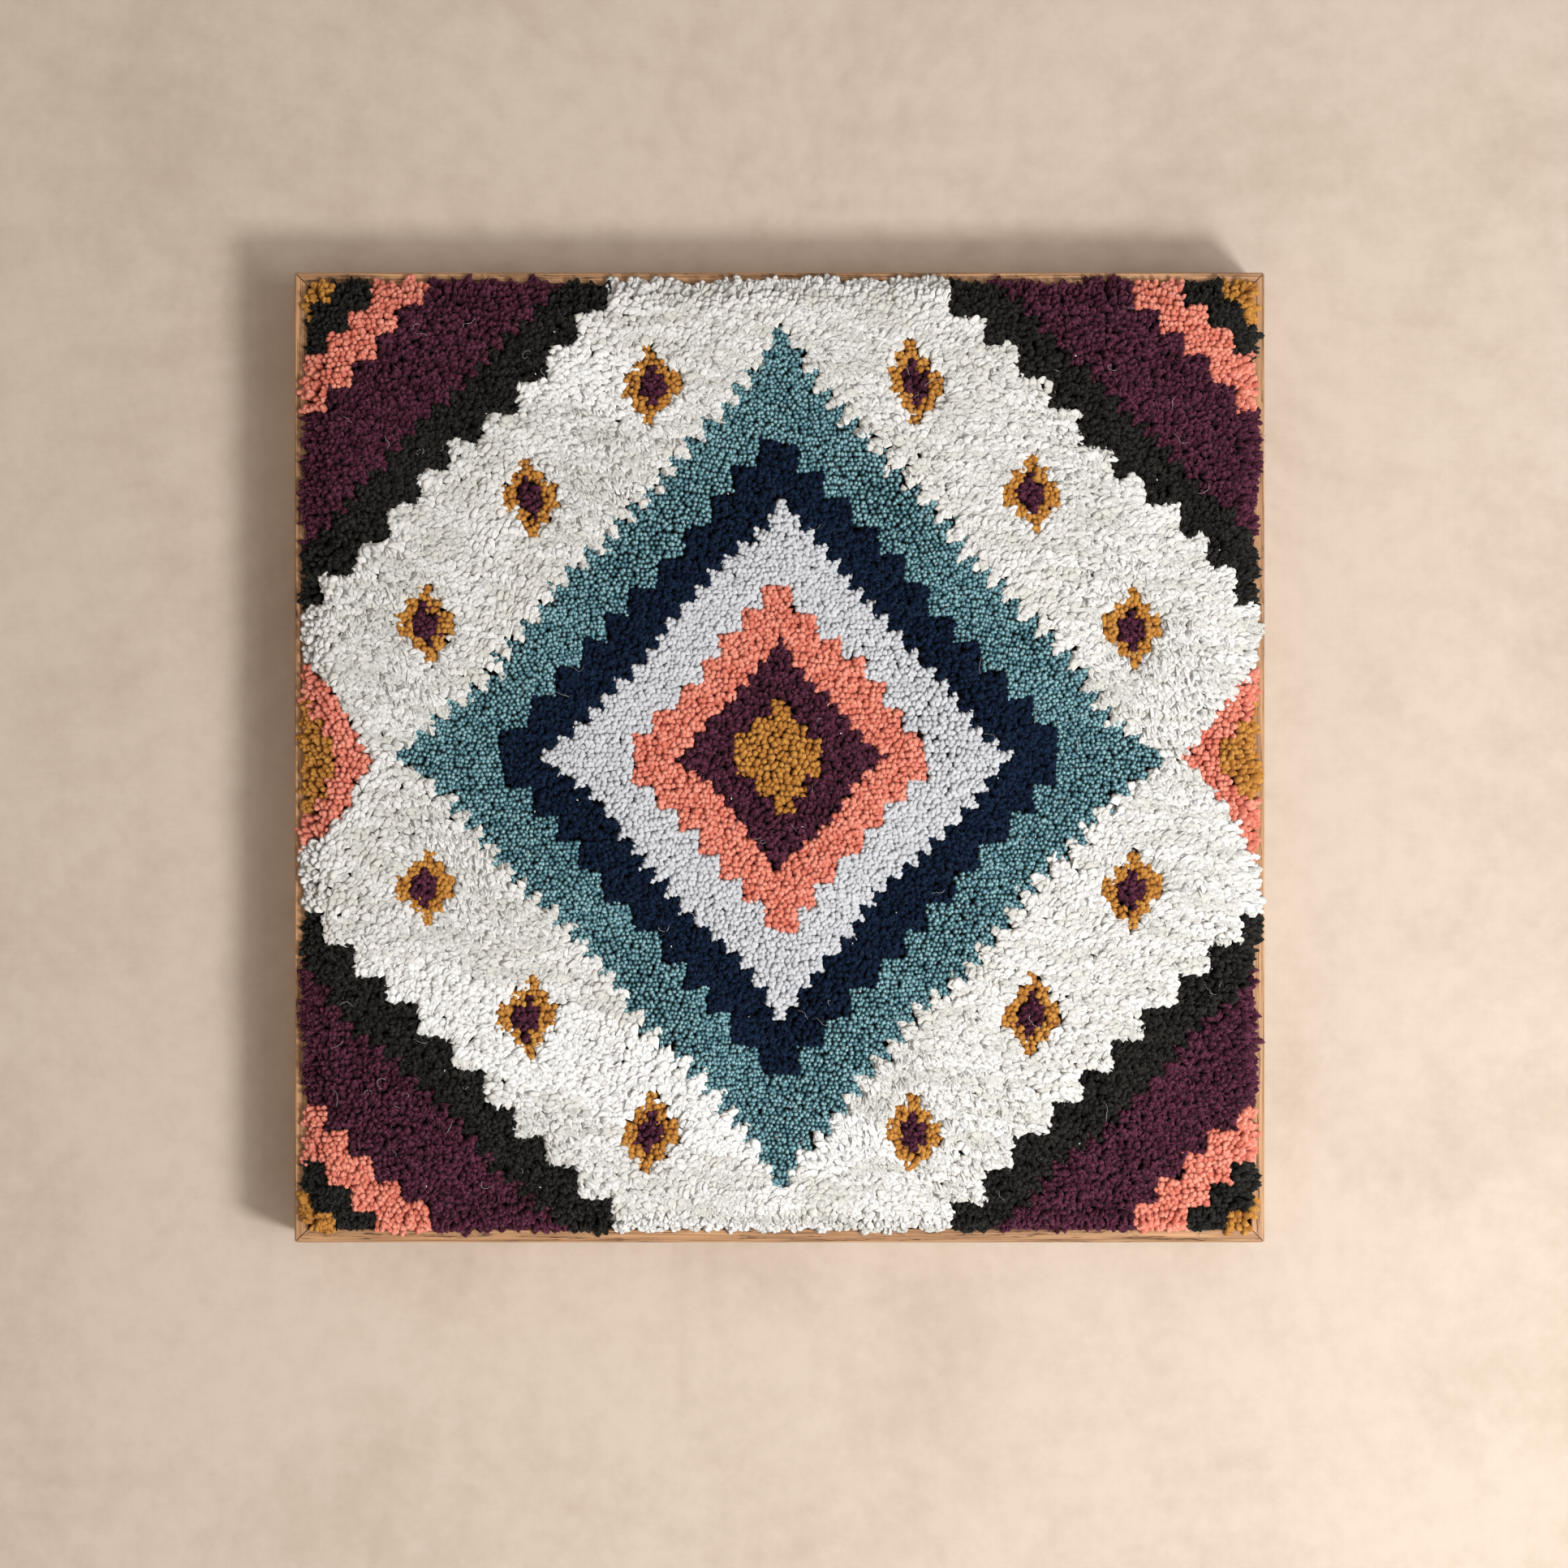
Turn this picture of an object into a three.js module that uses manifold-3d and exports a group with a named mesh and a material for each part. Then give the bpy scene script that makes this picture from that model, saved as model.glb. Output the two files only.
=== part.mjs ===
// A square of tufted cut pile held in a slim mitred oak frame, as it hangs on a wall.
// Millimetres. +X is to the right, +Z is up, and the pile faces -Y.
// The origin is the middle of the frame's top edge, on the plane of the wall.

import * as THREE from "three";
import { mergeVertices } from "three/addons/utils/BufferGeometryUtils.js";
import Module from "manifold-3d";

// Driving sizes of the frame
const FRAME_SIDE = 457.2;
const FRAME_DEPTH = 32;
const LIP_WIDTH = 6.35;
const BASE_WIDTH = 18;
const BASE_DEPTH = 20;
const ARRIS = 0.6;
const MITRE_GAP = 0.4;

// Driving sizes of the tufted cloth
const SEAT_GAP = 0.3;
const CLOTH_CORNER = 3;
const PILE_RISE = 7.5;
const PILE_CORNER = 9;
const CROWN_WIDTH = 11;
const OVERHANG = { left: 3.6, right: 3.4, top: 3.4, bottom: 2.4 };
const RIM_WAVER = 0.8;
const LUMP_HEIGHT = 0.7;
const SWELL_HEIGHT = 0.6;
const CELLS = 32;

// Driving sizes of the yarn locks that stand out round the rim
const LOCKS = 160;
const LOCK_LENGTH = { short: 4.8, long: 6.6 };
const LOCK_WIDTH = { narrow: 3.8, wide: 5.6 };
const LOCK_TIP_SHARE = 0.55;
const LOCK_ROOT_INSET = 4;
const LOCK_LEAN = { low: 0.6, high: 1.35 };
const LOCK_ROOT_RISE = 3.9;

const HALF_FRAME = FRAME_SIDE / 2;
const HALF_CLOTH = HALF_FRAME - LIP_WIDTH - SEAT_GAP;
const CLOTH_BACK = BASE_DEPTH + SEAT_GAP;
const PILE_FRONT = FRAME_DEPTH + PILE_RISE;

const OAK = { color: 0xb98b63, roughness: 0.62, metalness: 0 };
const YARN = { color: 0x8f8a8b, roughness: 0.95, metalness: 0 };

const wasm = await Module();
wasm.setup();

// A number from 0 to 1 that is always the same for the same seed.
function chance(seed) {
  const wave = Math.sin(seed * 12.9898 + 4.1414) * 43758.5453;
  return wave - Math.floor(wave);
}

function between(range, share) {
  const [low, high] = Object.values(range);
  return low + (high - low) * share;
}

// Frame rails. Each is one length of oak with a rebate for the cloth and mitred ends.

// The section of a rail: x runs inwards from the outer face, y forwards from the wall.
function railSection() {
  const section = new THREE.Shape();
  section.moveTo(ARRIS, 0);
  section.lineTo(BASE_WIDTH - ARRIS, 0);
  section.lineTo(BASE_WIDTH, ARRIS);
  section.lineTo(BASE_WIDTH, BASE_DEPTH);
  section.lineTo(LIP_WIDTH, BASE_DEPTH);
  section.lineTo(LIP_WIDTH, FRAME_DEPTH - ARRIS);
  section.lineTo(LIP_WIDTH - ARRIS, FRAME_DEPTH);
  section.lineTo(ARRIS, FRAME_DEPTH);
  section.lineTo(0, FRAME_DEPTH - ARRIS);
  section.lineTo(0, ARRIS);
  section.closePath();
  return section;
}

// The rail is made along X with its outer face up, at the top of the frame.
function railGeometry() {
  const geometry = new THREE.ExtrudeGeometry(railSection(), { depth: 1, bevelEnabled: false });
  const place = geometry.getAttribute("position");
  const cutBack = MITRE_GAP / Math.SQRT2;
  for (let i = 0; i < place.count; i++) {
    const inwards = place.getX(i);
    const forwards = place.getY(i);
    const end = place.getZ(i) > 0.5 ? -1 : 1;
    place.setXYZ(i, end * (HALF_FRAME - inwards - cutBack), -forwards, HALF_FRAME - inwards);
  }
  geometry.computeVertexNormals();
  return geometry;
}

function makeRail(name, quarterTurns) {
  const rail = new THREE.Mesh(railGeometry(), new THREE.MeshStandardMaterial(OAK));
  rail.name = name;
  rail.rotation.y = (quarterTurns * Math.PI) / 2;
  return rail;
}

// Tufted cloth. The cloth and the pile through it are one piece, crowned at its edges.

// How far the pile reaches past the frame's opening at a place on its rim.
function overhangAt(x, z) {
  const sideways = x < 0 ? OVERHANG.left : OVERHANG.right;
  const upright = z < 0 ? OVERHANG.bottom : OVERHANG.top;
  const share = x * x / (x * x + z * z);
  const waver = Math.sin(x / 17 + 1.3) + Math.sin(z / 13 + 0.4) + Math.sin((x - z) / 29);
  return sideways * share + upright * (1 - share) + (RIM_WAVER * waver) / 2;
}

// How much the pile's face rises above its mean height.
function faceRise(x, z) {
  const swell = Math.sin(x / 47 + 0.8) * Math.sin(z / 39 + 2.1) + Math.sin((x + 1.7 * z) / 83);
  const clump = Math.sin(x / 6.1 + 2.2 * Math.sin(z / 31)) * Math.sin(z / 5.3 + 1.9 * Math.sin(x / 27));
  return (SWELL_HEIGHT * swell) / 2 + LUMP_HEIGHT * clump;
}

// A place on a square with round corners, from its place on the edge of a plain square.
function roundedSquare(x, z, half, corner) {
  const scale = half / Math.max(Math.abs(x), Math.abs(z));
  const place = new THREE.Vector2(x * scale, z * scale);
  const core = half - corner;
  const middle = place.clone().clamp(new THREE.Vector2(-core, -core), new THREE.Vector2(core, core));
  const outwards = place.clone().sub(middle);
  if (Math.abs(outwards.x) > 0 && Math.abs(outwards.y) > 0) outwards.setLength(corner);
  return middle.add(outwards);
}

// The rim from the cloth's edge to the pile's face: depth from the wall, how much of the
// overhang is reached, how far it lies inside the opening, and the corner's radius.
const LIP_FRONT = FRAME_DEPTH + 2 * SEAT_GAP;
const RIM_ROWS = [
  { depth: CLOTH_BACK, reach: 0, inset: 0, corner: CLOTH_CORNER },
  { depth: LIP_FRONT, reach: 0, inset: 0, corner: CLOTH_CORNER + 2 },
  { depth: LIP_FRONT + 0.4, reach: 0.8, inset: 0, corner: PILE_CORNER - 3 },
  { depth: FRAME_DEPTH + 0.4 * PILE_RISE, reach: 1, inset: 0, corner: PILE_CORNER },
  { depth: FRAME_DEPTH + 0.72 * PILE_RISE, reach: 0.55, inset: 1, corner: PILE_CORNER },
  { depth: PILE_FRONT - 0.8, reach: 0, inset: 0.45 * CROWN_WIDTH, corner: PILE_CORNER },
];

// The places round a square of CELLS by CELLS, in order, each coordinate from -1 to 1.
function edgeWalk() {
  const walk = [];
  const step = 2 / CELLS;
  for (let i = 0; i < CELLS; i++) walk.push([-1 + i * step, -1]);
  for (let i = 0; i < CELLS; i++) walk.push([1, -1 + i * step]);
  for (let i = 0; i < CELLS; i++) walk.push([1 - i * step, 1]);
  for (let i = 0; i < CELLS; i++) walk.push([-1, 1 - i * step]);
  return walk;
}

function slabGeometry() {
  const points = [];
  const faces = [];
  const walk = edgeWalk();
  const around = walk.length;

  for (const row of RIM_ROWS)
    for (const [x, z] of walk) {
      const half = HALF_CLOTH - row.inset;
      const place = roundedSquare(x, z, half, row.corner);
      const grow = 1 + (row.reach * overhangAt(place.x, place.y)) / half;
      const rise = row.reach === 0 && row.inset > 0 ? faceRise(place.x, place.y) : 0;
      points.push(place.x * grow, -row.depth - rise, place.y * grow);
    }
  for (let row = 0; row + 1 < RIM_ROWS.length; row++)
    for (let i = 0; i < around; i++) {
      const [a, b] = [row * around + i, row * around + ((i + 1) % around)];
      faces.push(a, b, b + around, a, b + around, a + around);
    }

  const face = points.length / 3;
  const halfFace = HALF_CLOTH - CROWN_WIDTH;
  const at = (i, j) => face + j * (CELLS + 1) + i;
  for (let j = 0; j <= CELLS; j++)
    for (let i = 0; i <= CELLS; i++) {
      const [x, z] = [(2 * i) / CELLS - 1, (2 * j) / CELLS - 1];
      const edge = Math.max(Math.abs(x), Math.abs(z));
      const half = halfFace * edge;
      const place = edge > 0 ? roundedSquare(x, z, half, PILE_CORNER * edge * edge) : { x, y: z };
      points.push(place.x, -PILE_FRONT - faceRise(place.x, place.y), place.y);
    }
  for (let j = 0; j < CELLS; j++)
    for (let i = 0; i < CELLS; i++) {
      const [a, b, c, d] = [at(i, j), at(i + 1, j), at(i + 1, j + 1), at(i, j + 1)];
      if ((i < CELLS / 2) === (j < CELLS / 2)) faces.push(a, b, c, a, c, d);
      else faces.push(a, b, d, b, c, d);
    }
  const cellOf = (share) => Math.round(((share + 1) * CELLS) / 2);
  const faceEdge = walk.map(([x, z]) => at(cellOf(x), cellOf(z)));
  const lastRow = (RIM_ROWS.length - 1) * around;
  for (let i = 0; i < around; i++) {
    const next = (i + 1) % around;
    faces.push(lastRow + i, lastRow + next, faceEdge[next], lastRow + i, faceEdge[next], faceEdge[i]);
  }

  const backMiddle = points.length / 3;
  points.push(0, -CLOTH_BACK, 0);
  for (let i = 0; i < around; i++) faces.push(backMiddle, (i + 1) % around, i);

  const geometry = new THREE.BufferGeometry();
  geometry.setAttribute("position", new THREE.Float32BufferAttribute(points, 3));
  geometry.setIndex(faces);
  return geometry;
}

// One lock: a four-sided bundle of yarn ends that leans out over the frame's lip.
function lockGeometry(index) {
  const length = between(LOCK_LENGTH, chance(index + 0.1));
  const width = between(LOCK_WIDTH, chance(index + 0.2));
  const tip = width * LOCK_TIP_SHARE;
  const lock = new THREE.CylinderGeometry(tip / 2, width / 2, length, 4, 1);
  lock.translate(0, length / 2, 0);
  lock.rotateY(chance(index + 0.3) * Math.PI);

  const turn = ((index + 0.5 * chance(index + 0.4)) / LOCKS) * 2 * Math.PI;
  const far = Math.max(Math.abs(Math.cos(turn)), Math.abs(Math.sin(turn)));
  const root = roundedSquare(Math.cos(turn) / far, Math.sin(turn) / far, HALF_CLOTH, PILE_CORNER);
  const grow = 1 + (overhangAt(root.x, root.y) - LOCK_ROOT_INSET) / HALF_CLOTH;
  const lean = between(LOCK_LEAN, chance(index + 0.5));
  const core = HALF_CLOTH - PILE_CORNER;
  const overCorner = (value) => Math.sign(value) * Math.max(Math.abs(value) - core, 0);
  const aim = new THREE.Vector3(overCorner(root.x), 0, overCorner(root.y));
  aim.setLength(Math.sin(lean));
  aim.y = -Math.cos(lean);
  lock.applyQuaternion(new THREE.Quaternion().setFromUnitVectors(new THREE.Vector3(0, 1, 0), aim));
  lock.translate(root.x * grow, -(FRAME_DEPTH + LOCK_ROOT_RISE), root.y * grow);
  return lock;
}

function solidOf(geometry) {
  const bare = geometry.clone();
  bare.deleteAttribute("normal");
  bare.deleteAttribute("uv");
  const merged = mergeVertices(bare, 1e-4);
  const vertProperties = merged.getAttribute("position").array;
  const triVerts = new Uint32Array(merged.index.array);
  return new wasm.Manifold(new wasm.Mesh({ numProp: 3, vertProperties, triVerts }));
}

function geometryOf(solid) {
  const mesh = solid.getMesh();
  const geometry = new THREE.BufferGeometry();
  geometry.setAttribute("position", new THREE.BufferAttribute(mesh.vertProperties, 3));
  geometry.setIndex(new THREE.BufferAttribute(mesh.triVerts, 1));
  geometry.computeVertexNormals();
  return geometry;
}

function makeTuftedCloth() {
  const pieces = [solidOf(slabGeometry())];
  for (let i = 0; i < LOCKS; i++) pieces.push(solidOf(lockGeometry(i)));
  const joined = wasm.Manifold.union(pieces);
  const cloth = new THREE.Mesh(geometryOf(joined), new THREE.MeshStandardMaterial(YARN));
  cloth.name = "tufted_cloth";
  return cloth;
}

// The whole hanging, lowered so that its top edge is at the origin.
const hanging = new THREE.Group();
hanging.add(makeRail("rail_top", 0));
hanging.add(makeRail("rail_right", 1));
hanging.add(makeRail("rail_bottom", 2));
hanging.add(makeRail("rail_left", 3));
hanging.add(makeTuftedCloth());
hanging.position.z = -HALF_FRAME;

export default hanging;
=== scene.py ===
import math

import bpy
import mathutils
import numpy as np
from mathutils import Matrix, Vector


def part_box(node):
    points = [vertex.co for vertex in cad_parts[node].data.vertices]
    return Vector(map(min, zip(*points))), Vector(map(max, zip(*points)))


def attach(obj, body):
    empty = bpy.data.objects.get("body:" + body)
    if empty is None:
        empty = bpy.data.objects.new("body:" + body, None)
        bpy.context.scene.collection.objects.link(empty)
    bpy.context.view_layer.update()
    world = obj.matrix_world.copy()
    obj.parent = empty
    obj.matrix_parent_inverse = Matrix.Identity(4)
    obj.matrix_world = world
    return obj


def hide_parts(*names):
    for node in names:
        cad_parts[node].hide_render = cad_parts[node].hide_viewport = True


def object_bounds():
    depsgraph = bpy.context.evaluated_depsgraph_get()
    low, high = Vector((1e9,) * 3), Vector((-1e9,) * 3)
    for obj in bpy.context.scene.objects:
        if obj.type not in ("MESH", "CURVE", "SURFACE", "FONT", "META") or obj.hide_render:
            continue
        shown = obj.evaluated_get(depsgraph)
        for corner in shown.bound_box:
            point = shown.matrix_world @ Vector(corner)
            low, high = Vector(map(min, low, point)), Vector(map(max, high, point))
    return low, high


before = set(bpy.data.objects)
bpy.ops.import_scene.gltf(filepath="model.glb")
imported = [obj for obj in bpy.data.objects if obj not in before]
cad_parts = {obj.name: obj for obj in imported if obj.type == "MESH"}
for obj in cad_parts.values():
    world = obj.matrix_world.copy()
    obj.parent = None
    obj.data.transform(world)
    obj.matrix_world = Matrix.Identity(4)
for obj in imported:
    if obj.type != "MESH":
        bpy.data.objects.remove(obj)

cad_low, cad_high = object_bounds()


# Frame rails. Four lengths of plain-sawn oak with a rebate at the front for the cloth,
# cut to 45 degrees at both ends and glued, then rubbed with a thin matt oil.
OAK_LIGHT = (0.55, 0.300, 0.148)
OAK_DARK = (0.115, 0.044, 0.017)
OAK_PORE = (0.045, 0.018, 0.008)
RING_RATE = 1500
RING_WANDER = 34
OAK_GRAINS = {
    "wander": (4, 60, 60),
    "streak": (10, 760, 760),
    "fine": (26, 2100, 2100),
    "pore": (120, 1800, 1800),
    "drift": (7, 60, 60),
}
OAK_DARKENING = {"ring": 0.24, "streak": 0.40, "fine": 0.42, "drift": 0.5, "tone": 0.6}
OAK_START = -0.46
OAK_RELIEF = 0.00025
# Each rail's tone darkens it by its own amount: partly the board's own colour, partly painted light and
# shade, lighter on the right rail that faces the light and darker on the top and left rails that face away
# from it.
RAILS = {
    "rail_top": {"upright": False, "board": 0.3, "tone": 0.54},
    "rail_right": {"upright": True, "board": 1.7, "tone": 0.46},
    "rail_bottom": {"upright": False, "board": 2.9, "tone": 0.60},
    "rail_left": {"upright": True, "board": 4.1, "tone": 0.55},
}


def add(tree, kind, inputs=(), **settings):
    """One node, with its inputs set to plain values or joined to other nodes' outputs."""
    node = tree.nodes.new(kind)
    for name, value in settings.items():
        setattr(node, name, value)
    for name, value in dict(inputs).items():
        if isinstance(value, bpy.types.NodeSocket):
            tree.links.new(value, node.inputs[name])
        elif hasattr(value, "__len__") and node.inputs[name].type == "RGBA":
            node.inputs[name].default_value = (*value, 1)
        else:
            node.inputs[name].default_value = value
    return node


def math_node(tree, operation, *values, clamp=False):
    node = add(tree, "ShaderNodeMath", enumerate(values), operation=operation, use_clamp=clamp)
    return node.outputs[0]


def mix_colours(tree, share, first, second):
    return add(tree, "ShaderNodeMix", {0: share, 6: first, 7: second}, data_type="RGBA").outputs[2]


def spread(tree, value, low, high, to_low=0.0, to_high=1.0):
    """A value between low and high moved smoothly to lie between to_low and to_high."""
    inputs = {"Value": value, "From Min": low, "From Max": high, "To Min": to_low, "To Max": to_high}
    return add(tree, "ShaderNodeMapRange", inputs, interpolation_type="SMOOTHSTEP").outputs[0]


def noise(tree, vector, stretch, detail=2.0, rough=0.5):
    """Soft noise whose grains are about 1 / stretch long on each axis."""
    placed = add(tree, "ShaderNodeVectorMath", {0: vector, 1: stretch}, operation="MULTIPLY")
    inputs = {"Vector": placed.outputs[0], "Scale": 1.0, "Detail": detail, "Roughness": rough}
    return add(tree, "ShaderNodeTexNoise", inputs).outputs["Fac"]


def new_group(name, inputs, outputs):
    """A shader node group with named sockets. Returns its tree, input node and output node."""
    tree = bpy.data.node_groups.new(name, "ShaderNodeTree")
    for direction, sockets in (("INPUT", inputs), ("OUTPUT", outputs)):
        for socket, kind in sockets.items():
            tree.interface.new_socket(socket, in_out=direction, socket_type="NodeSocket" + kind)
    return tree, tree.nodes.new("NodeGroupInput"), tree.nodes.new("NodeGroupOutput")


def make_oak_grain():
    """Growth rings, open pores and slow colour drift along a board whose length is X."""
    tree, given, out = new_group(
        "Oak grain",
        {"Place": "Vector", "Tone": "Float"},
        {"Colour": "Color", "Roughness": "Float", "Height": "Float"},
    )
    place = given.outputs["Place"]
    wander = noise(tree, place, OAK_GRAINS["wander"], 4, 0.6)
    apart = add(tree, "ShaderNodeSeparateXYZ", {0: place})
    across = math_node(tree, "MULTIPLY_ADD", apart.outputs["Y"], 0.55, apart.outputs["Z"])
    even_rings = math_node(tree, "MULTIPLY", across, RING_RATE)
    turn = math_node(tree, "MULTIPLY_ADD", wander, RING_WANDER, even_rings)
    ring = math_node(tree, "MULTIPLY_ADD", math_node(tree, "SINE", turn), 0.5, 0.5)
    streak = spread(tree, noise(tree, place, OAK_GRAINS["streak"], 4, 0.65), 0.40, 0.62)
    fine = spread(tree, noise(tree, place, OAK_GRAINS["fine"], 2, 0.5), 0.38, 0.62)
    pore = spread(tree, noise(tree, place, OAK_GRAINS["pore"], 2, 0.6), 0.57, 0.66)
    pore = math_node(tree, "MULTIPLY", pore, spread(tree, ring, 0.25, 0.8))
    marks = {
        "ring": ring,
        "streak": streak,
        "fine": fine,
        "drift": noise(tree, place, OAK_GRAINS["drift"], 2),
        # Tone darkens the whole board, partly as painted light and shade on each rail.
        "tone": math_node(tree, "SUBTRACT", given.outputs["Tone"], 0.5),
    }
    dark = OAK_START
    for mark, value in marks.items():
        dark = math_node(tree, "MULTIPLY_ADD", value, OAK_DARKENING[mark], dark, clamp=mark == "tone")
    colour = mix_colours(tree, dark, OAK_LIGHT, OAK_DARK)
    colour = mix_colours(tree, math_node(tree, "MULTIPLY", pore, 0.8), colour, OAK_PORE)
    tree.links.new(colour, out.inputs["Colour"])
    rough = math_node(tree, "MULTIPLY_ADD", streak, 0.12, 0.50)
    rough = math_node(tree, "MULTIPLY_ADD", pore, 0.25, rough)
    tree.links.new(rough, out.inputs["Roughness"])
    height = math_node(tree, "SUBTRACT", math_node(tree, "MULTIPLY", fine, 0.35), pore)
    tree.links.new(height, out.inputs["Height"])
    return tree


OAK_GRAIN = make_oak_grain()


def oak_material(name, upright, board, tone):
    """Oiled oak whose grain runs along the rail. board picks the piece of tree it comes from.
    tone darkens the whole rail, partly as painted light and shade.
    """
    material = bpy.data.materials.new(name)
    material.use_nodes = True
    tree = material.node_tree
    shader = tree.nodes["Principled BSDF"]
    place = add(tree, "ShaderNodeTexCoord").outputs["Object"]
    rotation = (0, math.pi / 2 if upright else 0, 0)
    location = (board, board / 3, board / 7)
    inputs = {"Vector": place, "Rotation": rotation, "Location": location}
    turned = add(tree, "ShaderNodeMapping", inputs)
    grain = add(tree, "ShaderNodeGroup", node_tree=OAK_GRAIN)
    tree.links.new(turned.outputs[0], grain.inputs["Place"])
    grain.inputs["Tone"].default_value = tone
    tree.links.new(grain.outputs["Colour"], shader.inputs["Base Color"])
    tree.links.new(grain.outputs["Roughness"], shader.inputs["Roughness"])
    inputs = {"Height": grain.outputs["Height"], "Strength": 0.6, "Distance": OAK_RELIEF}
    bump = add(tree, "ShaderNodeBump", inputs)
    tree.links.new(bump.outputs[0], shader.inputs["Normal"])
    shader.inputs["Specular IOR Level"].default_value = 0.4
    return material


for name, facts in RAILS.items():
    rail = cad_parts[name]
    rail.data.materials.clear()
    rail.data.materials.append(oak_material("oiled oak, " + name.replace("_", " "), **facts))


# Glue lines. Brown wood glue fills each mitre and has dried a little below the face, so the
# joints read as fine dark lines.
GLUE_THICK = 0.00038
GLUE_SUNK = 0.0005
lip_low, lip_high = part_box("rail_top")
GLUE_DEPTH = {"front": lip_low[1] + GLUE_SUNK, "back": lip_high[1] - GLUE_SUNK}
GLUE_BROWN = (0.026, 0.012, 0.006)
MITRE = {"outer": 0.0007, "inner": 0.0060}
FRAME_HALF = (cad_high.z - cad_low.z) / 2
CORNERS = {"top_left": (-1, 0), "top_right": (1, 0), "bottom_left": (-1, -1), "bottom_right": (1, -1)}

glue = bpy.data.materials.new("dried wood glue")
glue.use_nodes = True
glue.node_tree.nodes["Principled BSDF"].inputs["Base Color"].default_value = (*GLUE_BROWN, 1)
glue.node_tree.nodes["Principled BSDF"].inputs["Roughness"].default_value = 0.55


def glue_line(name, corner, way):
    """A thin upright box along the mitre that runs in from one outer corner of the frame."""
    across = np.array([-way[1], way[0]]) / math.sqrt(2) * GLUE_THICK / 2
    start = np.array(corner) + np.array(way) * MITRE["outer"]
    end = np.array(corner) + np.array(way) * MITRE["inner"]
    outline = [start - across, end - across, end + across, start + across]
    points = [(x, y, z) for y in GLUE_DEPTH.values() for x, z in outline]
    walls = [(side, (side + 1) % 4, (side + 1) % 4 + 4, side + 4) for side in range(4)]
    mesh = bpy.data.meshes.new(name)
    mesh.from_pydata(points, [], [(3, 2, 1, 0), (4, 5, 6, 7), *walls])
    piece = bpy.data.objects.new(name, mesh)
    piece.data.materials.append(glue)
    bpy.context.scene.collection.objects.link(piece)
    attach(piece, "root")


for name, (right, up) in CORNERS.items():
    corner = (right * FRAME_HALF, cad_high.z + 2 * up * FRAME_HALF)
    glue_line("glue_line_" + name, corner, (-right, -1 - 2 * up))


# The pattern. Traditional stepped and toothed lozenges, nested in a large one in the
# middle and in quarters at the corners, drawn by hand on a marled cream ground.
MIDDLE_Z = (cad_low.z + cad_high.z) / 2
HALF_SIDE = 0.2222
WANDER = {"slow": 0.0012, "quick": 0.0009}
PLAIN_END = 0.07
WHITE_FROM = 1.05
EYES = ((0.118, 0.122), (0.166, 0.062), (0.062, 0.176))


def wandering(x, z):
    """Places moved a little, because the outlines were drawn by hand."""
    moved_x = x + WANDER["slow"] * np.sin(z * 95 + 1.0)
    moved_x += WANDER["quick"] * np.sin(x * 61 + z * 143 + 2.0)
    moved_z = z + WANDER["slow"] * np.sin(x * 88 + 0.5)
    moved_z += WANDER["quick"] * np.sin(z * 57 - x * 131 + 1.0)
    return moved_x, moved_z


def stepped(x, z, wide, tall, step):
    """Inside a lozenge whose sides go in square steps."""
    level = (np.floor(np.abs(z) / step) + 0.5) * step
    return np.abs(x) / wide + level / tall < 1


def toothed(x, z, wide, tall, pitch, depth=0.085):
    """Inside a lozenge with a row of pointed teeth along its sides, and plain ends."""
    share_x, share_z = np.abs(x) / wide, np.abs(z) / tall
    along = (share_x - share_z) * math.hypot(wide, tall) / 2
    tooth = 2 * np.abs((along / pitch) % 1 - 0.5)
    plain = np.clip(np.minimum(share_x, share_z) / PLAIN_END, 0, 1)
    return share_x + share_z + depth * tooth * plain < 1


# Each nest goes from its outer lozenge in: the yarn, the kind of side, the half width and
# half height, then the height of a step, or the pitch of the teeth and their depth.
MIDDLE_NEST = (
    ("teal", toothed, 0.183, 0.205, 0.0105),
    ("navy", stepped, 0.136, 0.152, 0.0135),
    ("pale", toothed, 0.112, 0.125, 0.0095),
    ("coral", stepped, 0.074, 0.083, 0.0115),
    ("plum", toothed, 0.050, 0.056, 0.0085, 0.12),
    ("ochre", stepped, 0.024, 0.029, 0.009),
)
CORNER_NEST = (
    ("black", stepped, 0.150, 0.150, 0.015),
    ("plum", toothed, 0.125, 0.125, 0.0098, 0.09),
    ("coral", stepped, 0.062, 0.062, 0.0118),
    ("black", stepped, 0.036, 0.036, 0.0105),
    ("ochre", stepped, 0.017, 0.017, 0.0085),
)
SIDE_NEST = (
    ("coral", toothed, 0.034, 0.050, 0.009, 0.12),
    ("ochre", stepped, 0.017, 0.027, 0.009),
)
EYE_NEST = (
    ("ochre", stepped, 0.0165, 0.0200, 0.0064),
    ("plum", stepped, 0.0080, 0.0105, 0.0052),
)


def yarn_at(x, z):
    """The name of the yarn at each place on the cloth, measured from its middle."""
    x, z = wandering(x, z)
    side, end = HALF_SIDE - np.abs(x), HALF_SIDE - np.abs(z)
    yarn = np.full(x.shape, "cream", dtype="<U6")
    white = np.sin(z * 38 + 1.3 * np.sin(x * 9 + 1) + 0.6) + 0.5 * np.sin(x * 17 + z * 23)
    yarn[white > WHITE_FROM] = "white"
    nests = [(x, z, MIDDLE_NEST), (side, end, CORNER_NEST), (side, z, SIDE_NEST)]
    nests += [(np.abs(x) - eye_x, np.abs(z) - eye_z, EYE_NEST) for eye_x, eye_z in EYES]
    for from_x, from_z, nest in nests:
        for colour, lozenge, *sizes in nest:
            yarn[lozenge(from_x, from_z, *sizes)] = colour
    return yarn


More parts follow.
